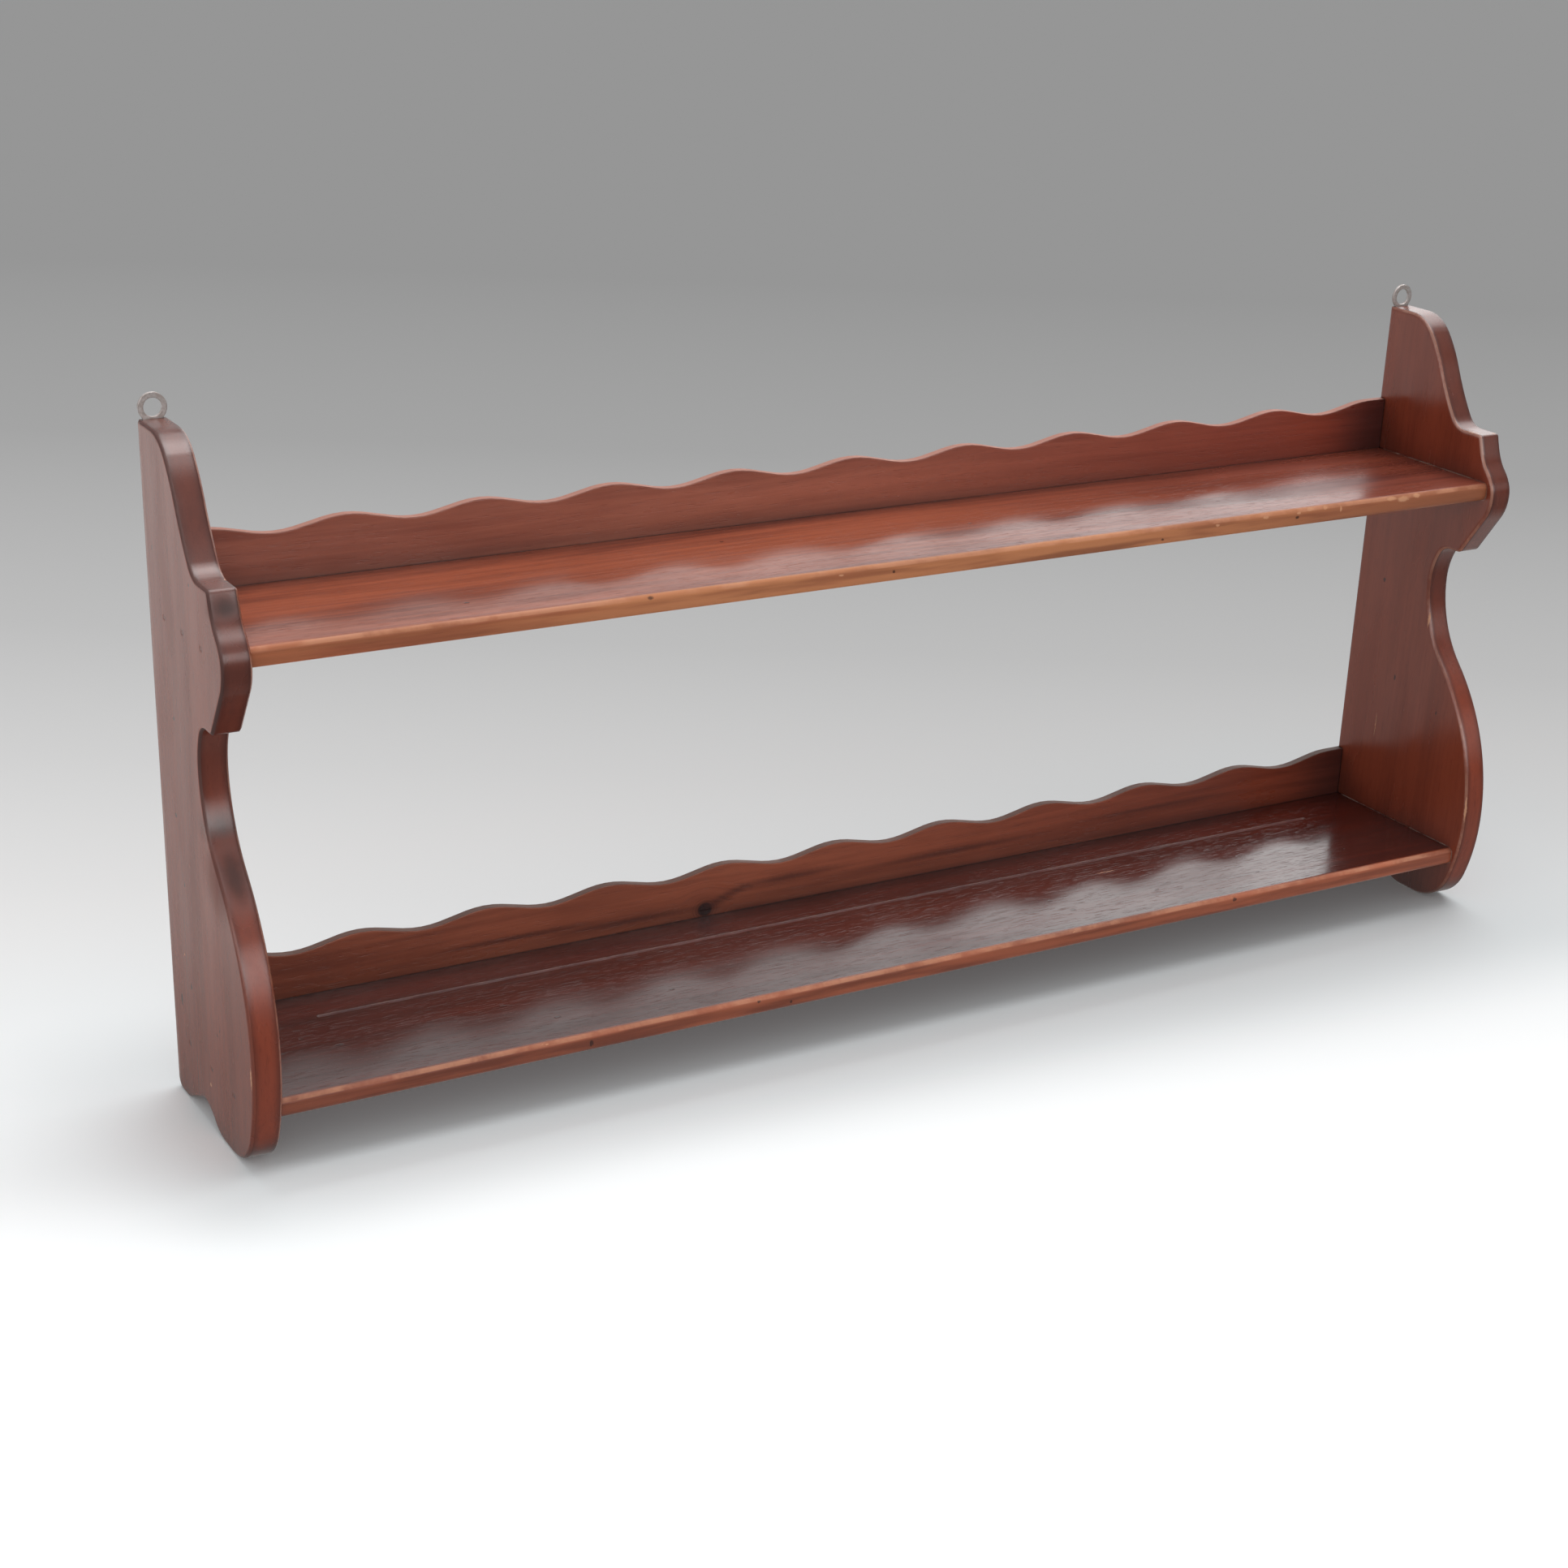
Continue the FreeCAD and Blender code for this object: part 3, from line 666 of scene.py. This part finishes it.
lower_gallery_wood = varnished_wood(
    "lower_gallery_wood", colour(176, 98, 70), colour(122, 62, 44), ALONG_X, roughness=0.3,
    seam_end=BOARD_INNER - 0.003, knot=KNOT_CENTRE, streaks=GALLERY_STREAKS,
    right_end_shade=tint(0.82, 0.66, 0.64), right_corner_shade=tint(0.5, 0.55, 0.7),
    top_light_tone=colour(60, 48, 42))
stopping_filler = varnished_wood(
    "stopping_filler", colour(126, 60, 42), colour(90, 42, 30), ALONG_Z, figure=0.5,
    roughness=0.22, edge_radius=0.0003, relief=0.35)
eye_metal = old_metal("eye_metal", colour(176, 170, 168), colour(150, 142, 138))
screw_metal = old_metal("screw_metal", colour(160, 144, 112), colour(104, 92, 72))
nail_metal = old_metal("nail_metal", colour(80, 74, 70), colour(50, 44, 40))

FINISHES = {
    "left_end_board": board_wood,
    "right_end_board": board_wood,
    "lower_shelf": lower_shelf_wood,
    "upper_shelf": upper_shelf_wood,
    "lower_gallery": lower_gallery_wood,
    "upper_gallery": upper_gallery_wood,
    "left_hanging_eye": eye_metal,
    "right_hanging_eye": eye_metal,
    "hanging_eye_screws": screw_metal,
    "shelf_end_nails": nail_metal,
    "nail_hole_stopping": stopping_filler,
    "gallery_brads": nail_metal,
}
for node_name, finish in FINISHES.items():
    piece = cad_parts[node_name]
    for slot in piece.material_slots:
        slot.material = finish


# ---------------------------------------------------------------- floor, light and camera

def floor_grey(tree, here):
    """White in front that turns grey towards the back, and an even grey far off."""
    way = vectors(tree, "DOT_PRODUCT", here, (*FLOOR_WAY, 0.0), output="Value")
    foot = CAMERA_PLACE[0] * FLOOR_WAY[0] + CAMERA_PLACE[1] * FLOOR_WAY[1]
    near, far = FLOOR_GREYS[0][0], FLOOR_GREYS[-1][0]
    reach = span(tree, maths(tree, "SUBTRACT", way, foot), near, far, smooth=False)
    ramp = new_node(tree, "ShaderNodeValToRGB", {0: reach})
    stops = ramp.color_ramp.elements
    while len(stops) < len(FLOOR_GREYS):
        stops.new(0.5)
    for stop, (distance, grey) in zip(stops, FLOOR_GREYS):
        stop.position = (distance - near) / (far - near)
        stop.color = colour(grey, grey, grey)
    from_rack = length(tree, here)
    return mix_colours(tree, span(tree, from_rack, *FLOOR_FADE), ramp.outputs[0], FAR_GREY)


def make_floor():
    """A pale floor with a faint glow for the camera. The varnish mirrors a dimmer one."""
    bpy.ops.object.select_all(action="DESELECT")
    bpy.ops.mesh.primitive_plane_add(size=FLOOR_SIZE, location=(0, 0, 0))
    floor = bpy.context.object
    floor.name = "studio_floor"
    material, tree = new_material("studio_floor")
    here = tree.nodes.new("ShaderNodeTexCoord").outputs["Object"]
    axes = parts_of(tree, here)
    rays = tree.nodes.new("ShaderNodeLightPath").outputs
    grey = floor_grey(tree, here)
    outside = vectors(tree, "SUBTRACT", vectors(tree, "ABSOLUTE", here), (HALF_LENGTH, WALL, 0.0))
    apart = length(tree, vectors(tree, "MAXIMUM", outside, (0.0, 0.0, 0.0)))

    paint = mix_colours(tree, span(tree, apart, *FLOOR_PAINT_REACH), FLOOR_PAINT_NEAR, FLOOR_PAINT)
    diffuse = new_node(tree, "ShaderNodeBsdfDiffuse",
                       {"Color": mix_colours(tree, 1.0, grey, paint, "MULTIPLY")})
    from_left = maths(tree, "ADD", axes["X"], HALF_LENGTH)
    frontward = maths(tree, "MULTIPLY_ADD", from_left, GLOW_LINE_SLANT, axes["Y"])
    in_front = times(tree, span(tree, frontward, *GLOW_IN_FRONT),
                     span(tree, apart, *GLOW_IN_FRONT_REACH))
    level = maths(tree, "ADD", span(tree, apart, *GLOW), in_front)
    glow = new_node(tree, "ShaderNodeEmission",
                    {"Color": grey, "Strength": times(tree, rays["Is Camera Ray"], level)})
    seen = new_node(tree, "ShaderNodeAddShader", {0: diffuse.outputs[0], 1: glow.outputs[0]})

    beside = maths(tree, "ADD", span(tree, apart, *MIRRORED_NEAR),
                   span(tree, apart, *MIRRORED_FAR))
    before = span(tree, axes["Y"], *MIRRORED_IN_FRONT)
    mirrored = new_node(tree, "ShaderNodeEmission",
                        {"Color": MIRRORED_COLOUR, "Strength": times(tree, beside, before)})
    either = new_node(tree, "ShaderNodeMixShader",
                      {0: rays["Is Glossy Ray"], 1: seen.outputs[0], 2: mirrored.outputs[0]})
    finish_material(tree, either)
    floor.data.materials.append(material)


def make_lamp(name, level, spread, turn):
    sun = bpy.data.lights.new(name, "SUN")
    sun.energy = level
    sun.angle = math.radians(spread)
    lamp = bpy.data.objects.new(name, sun)
    lamp.rotation_euler = [math.radians(a) for a in turn]
    bpy.context.scene.collection.objects.link(lamp)


def make_light():
    """An even grey room and two soft lamps. The varnish mirrors a room that is brightest behind
    on the right, with a lamp overhead and a low window in front."""
    world = bpy.data.worlds.new("studio")
    bpy.context.scene.world = world
    world.use_nodes = True
    tree = world.node_tree
    tree.nodes.clear()
    rays = tree.nodes.new("ShaderNodeLightPath").outputs
    axes = parts_of(tree, tree.nodes.new("ShaderNodeTexCoord").outputs["Generated"])
    rightward = span(tree, axes["X"], *BEHIND_RIGHT, smooth=False)
    rightward = maths(tree, "MULTIPLY_ADD", times(tree, rightward, rightward),
                      BEHIND_RIGHT_LEVEL, BEHIND_LEFT_LEVEL)
    room_behind = times(tree, rightward, span(tree, axes["Z"], *BEHIND_RISE, smooth=False))
    window = times(tree, span(tree, axes["Z"], *WINDOW_SILL), span(tree, axes["Z"], *WINDOW_HEAD),
                   span(tree, axes["X"], *WINDOW_SIDE))
    room_in_front = maths(tree, "ADD", span(tree, axes["Z"], *FRONT_RISE),
                          span(tree, axes["Z"], *OVERHEAD))
    room_in_front = maths(tree, "ADD", room_in_front, window)
    behind = span(tree, axes["Y"], *BEHIND)
    mirrored = new_node(tree, "ShaderNodeMix", {0: behind, 2: room_in_front, 3: room_behind})
    level = new_node(tree, "ShaderNodeMix",
                     {0: rays["Is Glossy Ray"], 2: WORLD_LEVEL, 3: mirrored.outputs[0]})
    sky = new_node(tree, "ShaderNodeBackground",
                   {"Color": (1, 1, 1, 1), "Strength": level.outputs[0]})
    output = tree.nodes.new("ShaderNodeOutputWorld")
    tree.links.new(sky.outputs[0], output.inputs[0])
    make_lamp("key_light", *KEY_LIGHT)
    make_lamp("fill_light", *FILL_LIGHT)


def make_camera():
    camera = bpy.data.cameras.new("photo_view")
    camera.lens = CAMERA_LENS
    camera.sensor_width = CAMERA_SENSOR
    camera.shift_y = CAMERA_SHIFT_UP
    holder = bpy.data.objects.new("photo_view", camera)
    holder.location = CAMERA_PLACE
    holder.rotation_euler = [math.radians(a) for a in CAMERA_TURN]
    bpy.context.scene.collection.objects.link(holder)
    bpy.context.scene.camera = holder


make_floor()
make_light()
make_camera()
bpy.context.scene.view_settings.view_transform = "Standard"
